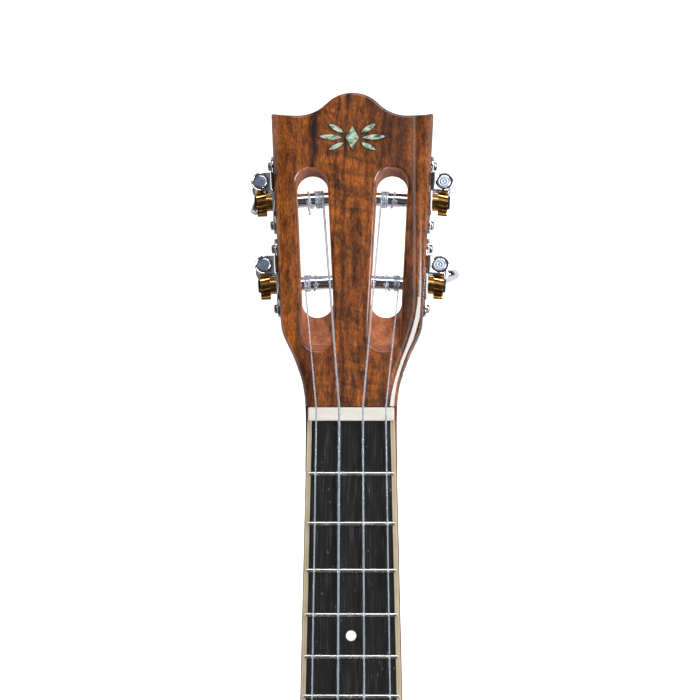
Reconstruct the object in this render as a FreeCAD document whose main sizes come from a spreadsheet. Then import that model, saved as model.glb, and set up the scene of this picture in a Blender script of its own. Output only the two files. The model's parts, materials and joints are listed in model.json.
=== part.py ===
import FreeCAD, Part
import math
import os
from FreeCAD import Placement, Rotation, Vector

# A concert ukulele, lying on its back. +Z points up out of the soundboard, +Y towards the head and +X to
# the right as the player's audience sees it. The origin is on the flat back, at the middle of the body.
# "Head space" is the frame of the tilted head: x across, u along the face from the nut's head-side edge,
# and w up out of the face. "Tuner space" is the frame of one right-hand tuner: a outwards from the head's
# side, b along that side towards the crown, and w as in head space.

SIZES = {
    # body
    "body_length": 280.0,
    "body_depth": 65.0,
    "lower_bout": 194.0,
    "lower_bout_y": -60.0,
    "lower_bout_arc": 70.0,
    "upper_bout": 145.0,
    "upper_bout_y": 85.0,
    "upper_bout_arc": 48.0,
    "waist_arc": 76.5,
    "plate_thickness": 2.0,
    "side_thickness": 2.0,
    "trim_width": 1.6,
    "lining_width": 5.0,
    "lining_height": 8.0,
    "sound_hole_y": 52.0,
    "sound_hole_radius": 29.0,
    "rosette_inner": 32.5,
    "rosette_outer": 37.0,
    "rosette_depth": 1.0,
    "block_length": 24.0,
    "tenon_width": 16.0,
    "brace_width": 6.0,
    "brace_height": 8.0,
    # neck, fretboard and nut
    "scale_length": 381.0,
    "board_thickness": 5.0,
    "board_width_nut": 35.5,
    "board_taper": 0.0472,
    "board_end_overhang": 4.6,
    "edging_width": 1.9,
    "neck_reveal": 0.4,
    "throat_reveal": 0.8,
    "neck_depth_nut": 14.0,
    "neck_depth_heel": 17.0,
    "nut_width": 35.0,
    "nut_length": 5.5,
    "nut_height": 7.0,
    "fret_width": 1.8,
    "fret_height": 1.0,
    "tang_width": 0.6,
    "tang_depth": 1.6,
    "dot_radius": 2.1,
    "dot_depth": 1.2,
    # head
    "head_tilt": 14.0,
    "head_thickness": 14.0,
    "veneer_thickness": 1.5,
    "veneer_round": 1.3,
    "head_waist_u": 38.0,
    "head_half_waist": 29.2,
    "relief_start": 5.0,
    "head_half_crown": 33.85,
    "head_corner_u": 125.6,
    "head_corner_round": 1.0,
    "crown_u": 134.8,
    "crown_arc": 15.0,
    "crown_trough_x": 23.0,
    "crown_trough_u": 124.8,
    "slot_width": 12.8,
    "slot_top_x": 16.6,
    "slot_top_u": 95.3,
    "slot_low_x": 14.1,
    "slot_low_u": 45.5,
    "ramp_x": 13.4,
    "ramp_u": 30.3,
    "ramp_depth": 6.2,
    "inlay_depth": 0.5,
    "inlay_u": 114.6,
    # tuners
    "lower_post_u": 53.6,
    "upper_post_u": 89.3,
    "post_depth": 8.0,
    "post_radius": 2.85,
    "post_inner_end": 25.5,
    "post_clearance": 0.05,
    "seat_radius": 1.9,
    "mount_plate": 1.2,
    "plate_end_radius": 4.0,
    "plate_half_width": 5.2,
    "plate_bend": 1.6,
    "plate_nutward": 13.7,
    "plate_crownward": 19.6,
    "plate_wide_length": 22.0,
    "ear_thickness": 1.1,
    "ear_radius": 3.95,
    "ear_chamfer": 0.3,
    "ear_front": 1.4,
    "worm_offset": 5.7,
    "centre_distance": 7.2,
    "worm_outer": 2.3,
    "worm_root": 1.1,
    "tooth_module": 0.6,
    "gear_teeth": 18.0,
    "gear_outer": 5.85,
    "gear_root": 4.7,
    "tooth_half_tip": 0.18,
    "tooth_half_root": 0.44,
    "thread_half_tip": 0.15,
    "thread_half_root": 0.38,
    "worm_phase": 310.0,
    "gear_face": 4.0,
    "gear_hub_radius": 3.7,
    "journal_radius": 3.0,
    "rear_shaft_radius": 1.9,
    "stem_radius": 1.5,
    "button_start": 17.0,
    "button_height": 12.0,
    "button_half_length": 8.6,
    "button_thickness": 3.2,
    "hub_radius": 2.9,
    # bridge and strings
    "bridge_length": 86.0,
    "bridge_width": 24.0,
    "bridge_height": 7.0,
    "saddle_length": 66.0,
    "saddle_width": 3.0,
    "saddle_top": 75.2,
    "saddle_round": 1.2,
    "string_action_nut": 71.8,
}

TUNERS = ("upper_left", "lower_left", "upper_right", "lower_right")
# how far each button is turned from lying along the head, in degrees
BUTTON_TURN = {"upper_left": 30.0, "lower_left": 0.0, "upper_right": 0.0, "lower_right": -73.0}
# where the two screws of a tuner's plate stand, along tuner space's b axis
SCREW_PLACES = (15.5, -10.2)
# how far inwards of the head's side each straight string meets its post
TOUCH = {"upper": -19.8, "lower": -10.6}
# string, x at the nut, x at the saddle, radius, and the tuner that it winds onto
STRINGS = (
    ("string_g", -14.1, -19.9, 0.32, "lower_left"),
    ("string_c", -4.8, -6.6, 0.45, "upper_left"),
    ("string_e", 4.8, 6.6, 0.38, "upper_right"),
    ("string_a", 14.1, 19.9, 0.30, "lower_right"),
)
# half width and distance from the nut at points down the head's flare
FLARE = ((19.4, 7.1), (21.4, 15.5), (24.6, 23.9), (28.1, 31.5))
# how far the head's back is drawn in at the nut, at those points and at the waist
RELIEF = (0.0, 0.6, 2.2, 2.8, 2.2, 0.0)
DOT_FRETS = (5, 7, 10, 12, 15)

doc = FreeCAD.newDocument("ukulele")
sheet = doc.addObject("Spreadsheet::Sheet", "Sizes")
for row, (alias, value) in enumerate(SIZES.items(), start=1):
    sheet.set(f"A{row}", alias)
    sheet.set(f"B{row}", str(value))
    sheet.setAlias(f"B{row}", alias)
doc.recompute()

nodes = []


def size(alias):
    return float(sheet.get(alias))


# ---------------------------------------------------------------- document helpers
def bind(obj, sizes):
    """Bind each property of an object to an expression in the sheet's aliases."""
    for name, expression in sizes.items():
        obj.setExpression(name, expression)
    return obj


def feature(name, shape, placement=None):
    obj = doc.addObject("Part::Feature", name)
    obj.Shape = shape
    if placement is not None:
        obj.Placement = placement
    return obj


def box(name, length, width, height, placement):
    obj = doc.addObject("Part::Box", name)
    bind(obj, {"Length": length, "Width": width, "Height": height})
    obj.Placement = placement
    return obj


def cylinder(name, radius, height, placement):
    obj = doc.addObject("Part::Cylinder", name)
    bind(obj, {"Radius": radius, "Height": height})
    obj.Placement = placement
    return obj


def cut(name, base, *tools):
    obj = doc.addObject("Part::Cut", name)
    obj.Base = base
    obj.Tool = tools[0] if len(tools) == 1 else group(name + "_tools", *tools)
    return obj


def common(name, base, tool):
    obj = doc.addObject("Part::Common", name)
    obj.Base = base
    obj.Tool = tool
    return obj


def group(name, *pieces):
    obj = doc.addObject("Part::Compound", name)
    obj.Links = list(pieces)
    return obj


def mirror(name, source):
    obj = doc.addObject("Part::Mirroring", name)
    obj.Source = source
    obj.Normal = Vector(1, 0, 0)
    return obj


def extrude(name, source, length, placement_z=0.0):
    """Extrude a flat outline upwards by a bound length."""
    obj = doc.addObject("Part::Extrusion", name)
    obj.Base = source
    obj.DirMode = "Custom"
    obj.Dir = Vector(0, 0, 1)
    obj.Solid = True
    bind(obj, {"LengthFwd": length})
    obj.Placement = Placement(Vector(0, 0, placement_z), Rotation())
    return obj


def inset(name, source, distance):
    obj = doc.addObject("Part::Offset2D", name)
    obj.Source = source
    obj.Join = 0
    obj.Intersection = False
    bind(obj, {"Value": "-(" + distance + ")"})
    return obj


def node(label, obj):
    """Give a finished sub-part its own name."""
    obj.Label = label
    nodes.append((label, obj))
    return obj


def at(x, y, z, rotation=None):
    return Placement(Vector(x, y, z), rotation or Rotation())


def arc_through(start, centre, end, side):
    """The arc about centre from start to end whose middle lies on the given side of the chord."""
    radius = (start - centre).Length
    middle = (start + end) * 0.5 - centre
    middle = middle.normalize() * radius * side
    return Part.Arc(start, centre + middle, end).toShape()


# ---------------------------------------------------------------- levels and places
body_top = size("body_depth")
plate = size("plate_thickness")
neck_joint_y = size("body_length") / 2
tail_y = -neck_joint_y


def fret_y(number):
    return nut_y - size("scale_length") * (1 - 2 ** (-number / 12))


nut_y = neck_joint_y + size("scale_length") * (1 - 2 ** (-14 / 12))
saddle_y = nut_y - size("scale_length")
nut_back_y = nut_y + size("nut_length")
board_top = body_top + size("board_thickness")
board_end_y = fret_y(18) - size("board_end_overhang")
face_z = body_top + size("veneer_thickness")
HEAD = Placement(Vector(0, nut_back_y, face_z), Rotation(Vector(1, 0, 0), -size("head_tilt")))
side_slope = math.degrees(math.atan(
    (size("head_half_crown") - size("head_half_waist")) / (size("head_corner_u") - size("head_waist_u"))))


def board_half_width(y):
    return (size("board_width_nut") + (nut_y - y) * size("board_taper")) / 2


def head_half_width(u):
    return size("head_half_waist") + (u - size("head_waist_u")) * math.tan(math.radians(side_slope))


def tuner_frame(tuner):
    """Tuner space for one tuner, in head space, as if it were on the right-hand side."""
    u = size("upper_post_u") if tuner.startswith("upper") else size("lower_post_u")
    turn = Rotation(Vector(0, 0, 1), -side_slope)
    return Placement(Vector(head_half_width(u), u, 0), turn)


# ---------------------------------------------------------------- body outline
def body_outline():
    """Half of the outline from the tail to the neck as tangent arcs, and its mirror image."""
    low = Vector(size("lower_bout") / 2 - size("lower_bout_arc"), size("lower_bout_y"), 0)
    high = Vector(size("upper_bout") / 2 - size("upper_bout_arc"), size("upper_bout_y"), 0)
    low_r = size("lower_bout_arc")
    high_r = size("upper_bout_arc")
    waist_r = size("waist_arc")

    def end_radius(centre, radius, end):
        reach = abs(end - centre.y)
        return (centre.x ** 2 + reach ** 2 - radius ** 2) / (2 * (reach - radius))

    tail_r = end_radius(low, low_r, tail_y)
    neck_r = end_radius(high, high_r, neck_joint_y)
    tail_c = Vector(0, tail_y + tail_r, 0)
    neck_c = Vector(0, neck_joint_y - neck_r, 0)
    # the waist's centre is outside, where the two enlarged bout circles cross
    span = high - low
    r1 = waist_r + low_r
    r2 = waist_r + high_r
    along = (r1 ** 2 - r2 ** 2 + span.Length ** 2) / (2 * span.Length)
    across = math.sqrt(r1 ** 2 - along ** 2)
    unit = Vector(span).normalize()
    waist_c = low + unit * along + Vector(unit.y, -unit.x, 0) * across

    def toward(start, end, radius):
        return start + Vector(end - start).normalize() * radius

    tail = Vector(0, tail_y, 0)
    neck = Vector(0, neck_joint_y, 0)
    p1 = toward(tail_c, low, tail_r)
    p2 = toward(low, waist_c, low_r)
    p3 = toward(high, waist_c, high_r)
    p4 = toward(neck_c, high, neck_r)
    right = [
        arc_through(tail, tail_c, p1, 1),
        Part.Arc(p1, low + Vector(low_r, 0, 0), p2).toShape(),
        arc_through(p2, waist_c, p3, 1),
        Part.Arc(p3, high + Vector(high_r, 0, 0), p4).toShape(),
        arc_through(p4, neck_c, neck, 1),
    ]
    left = [edge.mirror(Vector(0, 0, 0), Vector(1, 0, 0)) for edge in right]
    return Part.Wire(Part.__sortEdges__(right + left))


def build_body():
    outline = feature("body_outline", body_outline())
    trim_line = inset("trim_line", outline, "Sizes.trim_width")
    wall_line = inset("wall_line", outline, "Sizes.side_thickness")
    lining_line = inset("lining_line", outline, "Sizes.side_thickness + Sizes.lining_width")
    doc.recompute()

    hole = cylinder("sound_hole_tool", "Sizes.sound_hole_radius", "Sizes.plate_thickness * 3",
                    at(0, size("sound_hole_y"), body_top - 2 * plate))
    rosette_z = body_top - size("rosette_depth")
    ring_out = cylinder("rosette_blank", "Sizes.rosette_outer", "Sizes.rosette_depth",
                        at(0, size("sound_hole_y"), rosette_z))
    ring_in = cylinder("rosette_bore", "Sizes.rosette_inner", "Sizes.rosette_depth",
                       at(0, size("sound_hole_y"), rosette_z))
    ring = node("rosette", cut("rosette", ring_out, ring_in))
    top = extrude("top_blank", trim_line, "Sizes.plate_thickness", body_top - plate)
    node("soundboard", cut("soundboard", top, hole, ring))
    node("back_plate", extrude("back_plate", trim_line, "Sizes.plate_thickness"))

    rings = []
    for name, z in (("top", body_top - plate), ("back", 0.0)):
        blank = extrude(name + "_edging_blank", outline, "Sizes.plate_thickness", z)
        core = extrude(name + "_edging_core", trim_line, "Sizes.plate_thickness", z)
        rings.append(cut(name + "_edging", blank, core))
    node("body_bindings", group("body_bindings", *rings))

    wall_height = "Sizes.body_depth - 2 * Sizes.plate_thickness"
    outer = extrude("wall_outer", outline, wall_height, plate)
    inner = extrude("wall_inner", wall_line, wall_height, plate)
    tenon_gap = box("tenon_gap", "Sizes.tenon_width", "20", "Sizes.body_depth",
                    at(-size("tenon_width") / 2, neck_joint_y - 10, 0))
    wall = cut("wall", outer, inner, tenon_gap)
    for name, x in (("side_left", -150.0), ("side_right", 0.0)):
        half = box(name + "_half", "150", "Sizes.body_length + 20", "Sizes.body_depth", at(x, tail_y - 10, 0))
        node(name, common(name, wall, half))

    build_inside(wall_line, lining_line)
    return outline


def build_inside(wall_line, lining_line):
    """Linings, end blocks and braces, which are glued inside the sides and plates."""
    inner_depth = size("body_depth") - 2 * plate
    blocks = []
    inner_height = "Sizes.body_depth - 2 * Sizes.plate_thickness"
    cavity = extrude("cavity", wall_line, inner_height, plate)
    places = (("neck_block", 56, neck_joint_y - size("block_length")), ("tail_block", 46, tail_y - 4))
    for name, width, y in places:
        blank = box(name + "_blank", str(width), "Sizes.block_length", inner_height, at(-width / 2, y, plate))
        block = common(name + "_shaped", blank, cavity)
        blocks.append((name, block))
    mortise = box("mortise", "Sizes.tenon_width", "20", "Sizes.body_depth",
                  at(-size("tenon_width") / 2, neck_joint_y - 10, 0))
    node("neck_block", cut("neck_block", blocks[0][1], mortise))
    node("tail_block", blocks[1][1])

    strips = []
    for name, z in (("top", body_top - plate - size("lining_height")), ("back", plate)):
        blank = extrude(name + "_lining_blank", wall_line, "Sizes.lining_height", z)
        core = extrude(name + "_lining_core", lining_line, "Sizes.lining_height", z)
        strips.append(cut(name + "_lining", blank, core, blocks[0][1], blocks[1][1]))
    node("kerfed_linings", group("kerfed_linings", *strips))

    room = extrude("brace_room", lining_line, inner_height, plate)
    doc.recompute()

    def braces(name, places, z):
        bars = []
        for index, y in enumerate(places):
            bar = box(f"{name}_{index}", "200", "Sizes.brace_width", "Sizes.brace_height",
                      at(-100, y - size("brace_width") / 2, z))
            bars.append(common(f"{name}_fit_{index}", bar, room))
        node(name, group(name, *bars))

    braces("top_braces", (100.0, 8.0, -66.0), plate + inner_depth - size("brace_height"))
    braces("back_braces", (88.0, 6.0, -70.0), plate)
    node("bridge_plate", box("bridge_plate", "90", "28", "2", at(-45, saddle_y - 18, body_top - plate - 2)))


# ---------------------------------------------------------------- neck
def neck_section(half_width, depth, squareness, placement, rise=0.0):
    """Flat on top, and a rounded underside whose corners get squarer with a higher exponent.

    With a rise, the flat top stands that much higher on straight sides, to be planed off later.
    """
    points = []
    steps = 16
    for index in range(steps + 1):
        angle = math.pi * index / steps
        x = math.copysign(abs(math.cos(angle)) ** (2 / squareness), math.cos(angle)) * half_width
        z = -abs(math.sin(angle)) ** (2 / squareness) * depth
        points.append(Vector(x, 0, z))
    curve = Part.BSplineCurve()
    curve.interpolate(points)
    corners = [points[-1], points[0]]
    if rise:
        up = Vector(0, 0, rise)
        corners = [points[-1], points[-1] + up, points[0] + up, points[0]]
    wire = Part.Wire([curve.toShape()] + [Part.makeLine(a, b) for a, b in zip(corners, corners[1:])])
    wire.Placement = placement
    return wire


def round_corner(first, second, corner, radius):
    """Trim two edges back from the corner where they meet and join them with a curve tangent to both."""
    ends = []
    pieces = []
    for edge in (first, second):
        at_start = edge.valueAt(edge.FirstParameter).distanceToPoint(corner) < 0.001
        cut_at = edge.getParameterByLength(radius if at_start else edge.Length - radius)
        span = (cut_at, edge.LastParameter) if at_start else (edge.FirstParameter, cut_at)
        pieces.append(edge.Curve.toShape(*span))
        ends.append(edge.valueAt(cut_at))
    bend = Part.BezierCurve()
    bend.setPoles([ends[0], corner, ends[1]])
    return [pieces[0], bend.toShape(), pieces[1]]


def flare_edge(level, insets):
    """The sweep from the nut out to the head's straight side, drawn in by an inset at each of its points."""
    throat = Vector(size("board_width_nut") / 2 + size("throat_reveal"), -3.0, 0)
    waist = Vector(size("head_half_waist"), size("head_waist_u"), 0)
    points = [throat, *(Vector(x, u, 0) for x, u in FLARE), waist]
    along_side = Vector(size("head_half_crown"), size("head_corner_u"), 0) - waist
    sweep = Part.BSplineCurve()
    sweep.interpolate(
        [point + Vector(-inset, 0, level) for point, inset in zip(points, insets)],
        InitialTangent=Vector(0.05, 1, 0) * 8, FinalTangent=along_side.normalize() * 9)
    return sweep.toShape()


def flare_relief():
    """What is carved from the right-hand side of the flare, more and more towards the head's back."""
    sections = []
    for level, insets in ((-size("relief_start"), (0.0,) * len(RELIEF)),
                          (-size("head_thickness") - 1.0, RELIEF)):
        edge = flare_edge(level, insets)
        low = edge.Vertexes[0].Point
        high = edge.Vertexes[-1].Point
        corners = [high, Vector(45, high.y, level), Vector(45, low.y, level), low]
        sections.append(Part.Wire([edge] + [Part.makeLine(*ends) for ends in zip(corners, corners[1:])]))
    return Part.makeLoft(sections, True, True)


def head_outline():
    """The head's face: a sweep out of the neck, straight sides and a bell-shaped crown."""
    corner = Vector(size("head_half_crown"), size("head_corner_u"), 0)
    sweep = flare_edge(0.0, (0.0,) * len(RELIEF))
    start = sweep.Vertexes[0].Point
    straight = sweep.Vertexes[-1].Point
    # the crown: a convex arc, and a concave arc tangent to it, down to a trough
    trough = Vector(size("crown_trough_x"), size("crown_trough_u"), 0)
    drop = size("crown_u") - trough.y
    turn = 2 * math.atan(drop / trough.x)
    hollow_r = trough.x / math.sin(turn) - size("crown_arc")
    peak = Vector(0, size("crown_u"), 0)
    dome_c = peak - Vector(0, size("crown_arc"), 0)
    join = dome_c + Vector(math.sin(turn), math.cos(turn), 0) * size("crown_arc")
    hollow_c = trough + Vector(0, hollow_r, 0)
    wing_middle = (trough + corner) * 0.5 + Vector(0, -0.18, 0)
    right = [
        sweep,
        Part.makeLine(straight, corner),
        Part.Arc(corner, wing_middle, trough).toShape(),
        arc_through(trough, hollow_c, join, 1),
        arc_through(join, dome_c, peak, 1),
    ]
    right[1:3] = round_corner(right[1], right[2], corner, size("head_corner_round"))
    left = [edge.mirror(Vector(0, 0, 0), Vector(1, 0, 0)) for edge in right]
    base = Part.makeLine(start, Vector(-start.x, start.y, 0))
    return Part.Wire(Part.__sortEdges__(right + left + [base]))


def stadium(start, end, radius):
    """A long hole with round ends, as a flat wire."""
    along = Vector(end - start).normalize()
    across = Vector(-along.y, along.x, 0) * radius
    return Part.Wire([
        Part.makeLine(start + across, end + across),
        Part.Arc(end + across, end + along * radius, end - across).toShape(),
        Part.makeLine(end - across, start - across),
        Part.Arc(start - across, start - along * radius, start + across).toShape(),
    ])


def slot_tools():
    """The right-hand string slot and its ramp, in head space, tall enough to cut right through."""
    radius = size("slot_width") / 2
    top = Vector(size("slot_top_x"), size("slot_top_u"), 0)
    low = Vector(size("slot_low_x"), size("slot_low_u"), 0)
    ramp = Vector(size("ramp_x"), size("ramp_u"), 0)
    through = Part.Face(stadium(low, top, radius)).extrude(Vector(0, 0, 40)).translated(Vector(0, 0, -30))
    pocket = Part.Face(stadium(ramp, low, radius)).extrude(Vector(0, 0, 10))
    pocket.translate(Vector(0, 0, -size("ramp_depth")))
    start_u = size("ramp_u") - radius - 1.5
    end_u = size("slot_low_u") - radius
    floor = -size("ramp_depth")
    wedge = Part.makePolygon([
        Vector(0, start_u, 0), Vector(0, end_u, floor), Vector(0, end_u + 8, floor),
        Vector(0, end_u + 8, 5), Vector(0, start_u, 5), Vector(0, start_u, 0)])
    wedge = Part.Face(wedge).extrude(Vector(40, 0, 0))
    return through.fuse(pocket.common(wedge)).removeSplitter()


def both_sides(shape):
    return shape.fuse(shape.mirror(Vector(0, 0, 0), Vector(1, 0, 0)))


def edges_where(shape, test):
    return [edge for edge in shape.Edges if test(edge)]


def head_blank(low, high):
    """The head's outline between two levels, with both slots cut."""
    blank = Part.Face(head_outline()).extrude(Vector(0, 0, high - low)).translated(Vector(0, 0, low))
    return blank.cut(both_sides(slot_tools()))


def near_level(level):
    return lambda edge: abs(edge.BoundBox.ZMin - level) < 0.01 and abs(edge.BoundBox.ZMax - level) < 0.01


def tuner_bores(tuner):
    """Holes for one right-hand post and its two plate screws, in head space."""
    depth = -size("post_depth")
    out = Rotation(Vector(0, 1, 0), 90)
    rail = Part.makeCylinder(3.3, 12.6, Vector(-12.5, 0, depth), Vector(1, 0, 0))
    seat = Part.makeCylinder(size("post_radius") + size("post_clearance"), 14,
                             Vector(-size("post_inner_end") - 0.2, 0, depth), Vector(1, 0, 0))
    pilots = [Part.makeCylinder(1.25, 7, Vector(-6.9, b, depth), Vector(1, 0, 0)) for b in SCREW_PLACES]
    bores = Part.makeCompound([rail, seat] + pilots)
    bores.Placement = tuner_frame(tuner)
    return bores


def build_neck(outline):
    low = -size("veneer_thickness")
    rise = 4.0

    def in_head(half_width, u, depth, squareness):
        place = HEAD.multiply(at(0, u, low))
        return neck_section(half_width, depth, squareness, place, rise)

    def along_board(y, depth, squareness, top=0.0):
        half = board_half_width(y) + size("neck_reveal")
        return neck_section(half, depth, squareness, at(0, y, body_top), top)

    heel_y = neck_joint_y - 6
    shaft = Part.makeLoft([
        along_board(heel_y, size("neck_depth_heel"), 2.2),
        along_board(nut_y - 22, size("neck_depth_nut"), 2.2)], True, True)
    throat = Part.makeLoft([
        along_board(nut_y - 22, size("neck_depth_nut"), 2.2, rise),
        neck_section(size("board_width_nut") / 2 + size("throat_reveal"), size("neck_depth_nut") + 0.2, 2.5,
                     at(0, nut_y, body_top), rise),
        in_head(19.2, 6.5, 12.6, 4.0),
        in_head(21.4, 16.0, 12.5, 8.0)], True, False)
    core = head_blank(-size("head_thickness"), low)
    core = core.cut(Part.makeBox(120, 30, 60, Vector(-60, -14, -30)))
    under = near_level(-size("head_thickness"))
    core = core.makeFillet(1.6, edges_where(core, lambda edge: under(edge) and edge.BoundBox.YMin > 16.5))
    core = core.cut(both_sides(flare_relief()))
    slots = both_sides(slot_tools())
    slots.Placement = HEAD
    core.Placement = HEAD.multiply(core.Placement)

    # the throat's raised top is planed level with the board's underside and with the head's face
    level = Part.makeBox(80, nut_back_y - 200, 30, Vector(-40, 200, body_top))
    planed = Part.makeBox(120, 160, 30, Vector(-60, 0.18, low))
    planed.Placement = HEAD
    throat = throat.cut(level.fuse(planed))

    # the heel narrows from the shaft down to its cap, and its back fits the rim of the body
    def heel_section(z, half_width, reach):
        back = neck_joint_y - 6
        tip = Vector(0, neck_joint_y + reach, z)
        right = Vector(half_width, back, z)
        left = Vector(-half_width, back, z)
        shoulder = Vector(half_width * 0.8, neck_joint_y + reach * 0.55, z)
        other = Vector(-shoulder.x, shoulder.y, z)
        curve = Part.BSplineCurve()
        curve.interpolate([right, shoulder, tip, other, left])
        return Part.Wire([curve.toShape(), Part.makeLine(left, right)])

    heel = Part.makeLoft([
        heel_section(4, 11, 14), heel_section(22, 12.5, 16), heel_section(40, 16.5, 24),
        heel_section(56, 21.0, 44)], True, False)
    trim = Part.Face(outline.Shape).extrude(Vector(0, 0, 80))
    tenon_width = size("tenon_width") - 0.2
    tenon = Part.makeBox(tenon_width, 10.2, 48, Vector(-tenon_width / 2, neck_joint_y - 9.8, 14))
    neck = shaft.fuse([throat, heel]).cut(trim)
    neck = neck.fuse([core, tenon])
    neck = neck.cut(slots)
    for tuner in TUNERS[2:]:
        bores = both_sides(tuner_bores(tuner))
        bores.Placement = HEAD.multiply(bores.Placement)
        neck = neck.cut(bores)
    # a shaving thinner than a hair comes loose where the throat is planed
    neck = max(neck.removeSplitter().Solids, key=lambda solid: solid.Volume)
    node("neck", feature("neck", neck))

    cap = Part.Face(heel_section(2, 11, 14)).extrude(Vector(0, 0, 2)).cut(trim)
    node("heel_cap", feature("heel_cap", cap))


def build_veneer():
    veneer = head_blank(-size("veneer_thickness"), 0)
    face = near_level(0.0)
    rim = edges_where(veneer, lambda edge: face(edge) and edge.BoundBox.YMax > -2.5)
    veneer = veneer.makeFillet(size("veneer_round"), rim)
    ornament = head_ornament()
    veneer = veneer.cut(ornament)
    veneer = veneer.cut(Part.makeBox(60, 6, 8, Vector(-30, -6 + 0.38, -4)))
    node("head_veneer", feature("head_veneer", veneer, HEAD))
    node("head_inlay", feature("head_inlay", ornament, HEAD))


def leaf(start, end, bulge):
    """A pointed leaf between two points, bounded by two arcs."""
    middle = (start + end) * 0.5
    across = Vector(-(end - start).y, (end - start).x, 0).normalize() * bulge
    wire = Part.Wire([
        Part.Arc(start, middle + across, end).toShape(),
        Part.Arc(end, middle - across, start).toShape()])
    return Part.Face(wire)


def head_ornament():
    """A plain lozenge with a spray of leaves on each side, let into the veneer."""
    depth = size("inlay_depth")
    u = size("inlay_u")
    half_x, half_u = 2.9, 5.2
    lozenge = Part.Face(Part.makePolygon([
        Vector(0, u - half_u, 0), Vector(half_x, u, 0), Vector(0, u + half_u, 0), Vector(-half_x, u, 0),
        Vector(0, u - half_u, 0)]))
    sprays = (
        (Vector(3.9, u, 0), Vector(14.2, u + 0.6, 0), 1.25),
        (Vector(3.4, u + 2.0, 0), Vector(10.0, u + 6.2, 0), 1.15),
        (Vector(3.4, u - 2.0, 0), Vector(10.0, u - 5.4, 0), 1.15),
    )
    faces = [lozenge]
    for start, end, bulge in sprays:
        blade = leaf(start, end, bulge)
        faces.append(blade)
        faces.append(blade.mirror(Vector(0, 0, 0), Vector(1, 0, 0)))
    solids = [face.extrude(Vector(0, 0, depth)) for face in faces]
    pieces = Part.makeCompound(solids)
    pieces.translate(Vector(0, 0, -depth))
    return pieces


# ---------------------------------------------------------------- fretboard, frets and nut
def tapered_slab(inner, outer, low, high):
    """One strip beside the centreline between two distances from the board's edge, right-hand side."""
    def corner(y, back):
        return Vector(board_half_width(y) - back, y, low)
    points = [corner(nut_y, inner), corner(nut_y, outer)]
    points += [corner(board_end_y, outer), corner(board_end_y, inner)]
    return Part.Face(Part.makePolygon(points + [points[0]])).extrude(Vector(0, 0, high - low))


def build_fretboard():
    edging = size("edging_width")
    wide, narrow = [board_half_width(y) - edging for y in (board_end_y, nut_y)]
    corners = [Vector(narrow, nut_y, body_top), Vector(wide, board_end_y, body_top),
               Vector(-wide, board_end_y, body_top), Vector(-narrow, nut_y, body_top)]
    blank = Part.Face(Part.makePolygon(corners + [corners[0]])).extrude(Vector(0, 0, size("board_thickness")))
    slab = feature("board_blank", blank)
    strips = tapered_slab(edging, 0, body_top, board_top)
    strips = Part.makeCompound([strips, strips.mirror(Vector(0, 0, 0), Vector(1, 0, 0))])
    rails = feature("edging_blank", strips)

    dots = []
    for number in DOT_FRETS:
        y = (fret_y(number) + fret_y(number - 1)) / 2
        places = (-7.0, 7.0) if number == 12 else (0.0,)
        for x in places:
            dots.append(cylinder(f"dot_{number}_{len(dots)}", "Sizes.dot_radius", "Sizes.dot_depth",
                                 at(x, y, board_top - size("dot_depth"))))
    dot_set = node("position_dots", group("position_dots", *dots))
    fret_set = feature("frets", Part.makeCompound([fret(number) for number in range(1, 19)]))
    node("frets", fret_set)
    node("fretboard", cut("fretboard", slab, dot_set, fret_set))
    node("fretboard_binding", cut("fretboard_binding", rails, fret_set))

    blank = box("nut_blank", "Sizes.nut_width", "Sizes.nut_length", "Sizes.nut_height",
                at(-size("nut_width") / 2, nut_y, body_top))
    rounded = doc.addObject("Part::Fillet", "nut_rounded")
    rounded.Base = blank
    doc.recompute()
    top = body_top + size("nut_height")
    rounded.Edges = [
        (index, 0.7, 0.7) for index, edge in enumerate(blank.Shape.Edges, start=1)
        if edge.BoundBox.ZMin > top - 0.01 or (edge.BoundBox.ZLength > 1 and edge.BoundBox.YMin > nut_y + 1)]
    grooves = []
    for name, x, _, radius, _ in STRINGS:
        grooves.append(feature(name + "_groove", Part.makeCylinder(
            radius + 0.03, 9, Vector(x, nut_y - 1, size("string_action_nut")), Vector(0, 1, 0))))
    node("nut", cut("nut", rounded, *grooves))


def fret(number):
    """A round-topped wire with a tang let into the board, its ends bevelled over the edging."""
    y = fret_y(number)
    half = board_half_width(y) - 0.5
    width = size("fret_width") / 2
    tang = size("tang_width") / 2
    crown = board_top + size("fret_height")
    base = board_top
    foot = base - size("tang_depth")
    arc = Part.Arc(Vector(-half, y - width, base), Vector(-half, y, crown), Vector(-half, y + width, base))
    line = [Vector(-half, y + across, z) for across, z in (
        (width, base), (tang, base), (tang, foot), (-tang, foot), (-tang, base), (-width, base))]
    profile = Part.Wire([arc.toShape()] + [Part.makeLine(a, b) for a, b in zip(line, line[1:])])
    wire = Part.Face(profile).extrude(Vector(2 * half, 0, 0))
    slope = 0.8
    ends = [Vector(x, y - 3, z) for x, z in (
        (-half, base - 3), (half, base - 3), (half, base), (half - slope, crown + 0.2),
        (slope - half, crown + 0.2), (-half, base), (-half, base - 3))]
    return wire.common(Part.Face(Part.makePolygon(ends)).extrude(Vector(0, 6, 0)))


# ---------------------------------------------------------------- bridge, saddle and strings
tie_z = body_top + 4.6


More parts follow.
